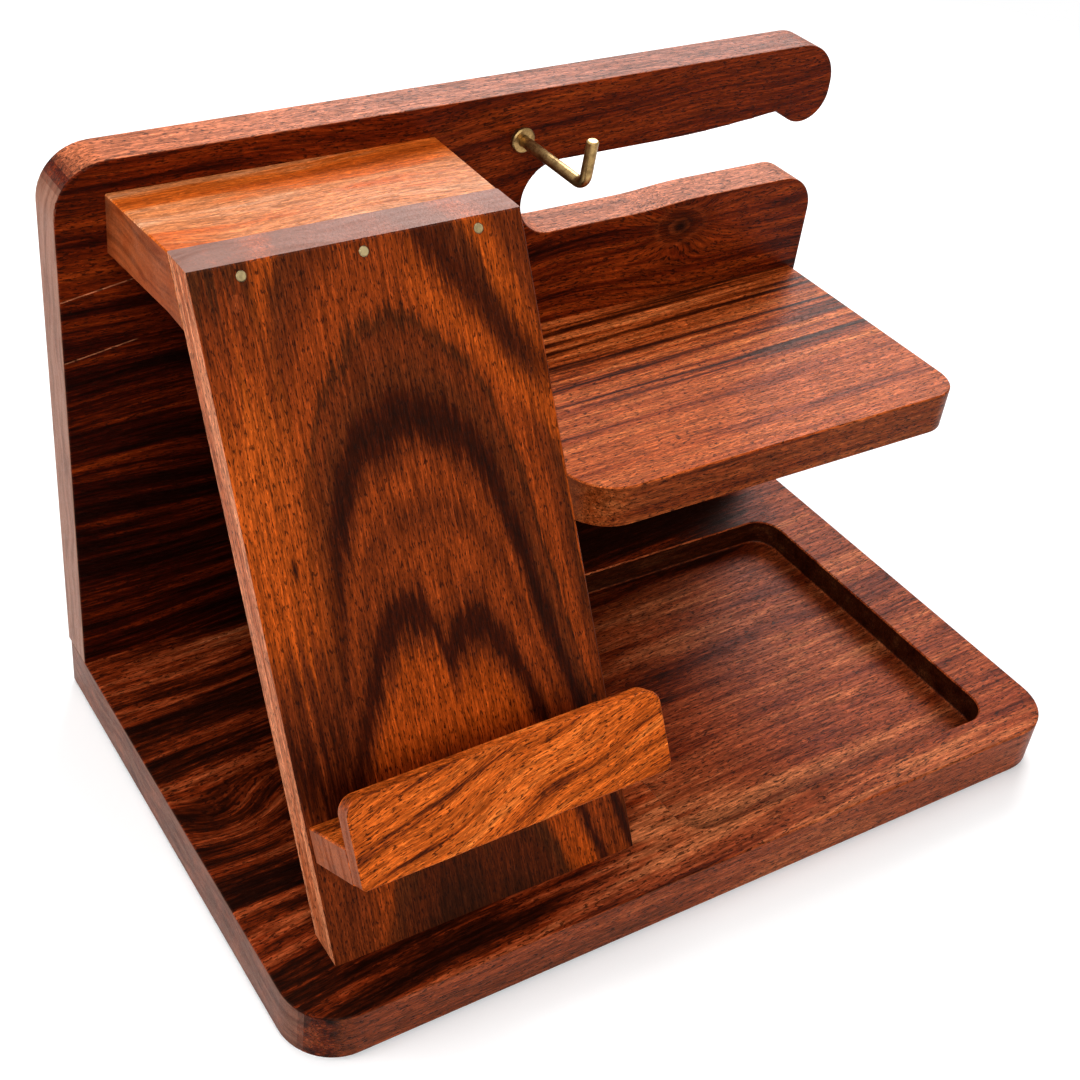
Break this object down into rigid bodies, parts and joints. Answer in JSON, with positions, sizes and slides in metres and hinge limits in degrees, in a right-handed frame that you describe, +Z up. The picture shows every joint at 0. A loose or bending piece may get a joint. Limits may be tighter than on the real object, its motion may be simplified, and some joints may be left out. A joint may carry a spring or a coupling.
{
  "type": "bedside docking station",
  "caption": "Wooden bedside docking station with an inclined phone rest, a watch arm over a slot, a shelf, a key hook and a tray recess.",
  "frame": {"origin": "middle of the footprint, on the surface it stands on", "axes": "+X to the right of someone facing the phone rest, +Y from the front to the back panel, +Z up"},
  "size_m": [0.2708, 0.1704, 0.1853],
  "materials": {
    "base_wood": "oiled rosewood-type hardwood, satin, grain along the width",
    "panel_wood": "oiled rosewood-type hardwood, satin, dark streaks along the width",
    "backrest_wood": "oiled rosewood-type hardwood, satin, arched figure along the slope",
    "block_wood": "oiled rosewood-type hardwood, satin",
    "ledge_wood": "oiled rosewood-type hardwood, satin",
    "lip_wood": "oiled rosewood-type hardwood, satin, light orange with slanting dark veins",
    "shelf_wood": "oiled rosewood-type hardwood, satin, dark streaks along the width",
    "hook_brass": "brushed brass",
    "pin_brass": "filed brass",
    "dowel_wood": "plain beech",
    "screw_steel": "zinc plated",
    "pad_rubber": "matt black"
  },
  "bodies": {
    "root": {"base_board": "base_wood", "back_panel": "panel_wood", "phone_backrest": "backrest_wood", "stand_block": "block_wood", "phone_ledge": "ledge_wood", "phone_lip": "lip_wood", "shelf": "shelf_wood", "key_hook": "hook_brass", "hook_rosette": "hook_brass", "backrest_pins": "pin_brass", "panel_dowels": "dowel_wood", "shelf_dowels": "dowel_wood", "block_dowels": "dowel_wood", "ledge_dowels": "dowel_wood", "foot_dowels": "dowel_wood", "panel_screws": "screw_steel", "pad_front_left": "pad_rubber", "pad_front_right": "pad_rubber", "pad_rear_left": "pad_rubber", "pad_rear_right": "pad_rubber"}
  },
  "joints": []
}
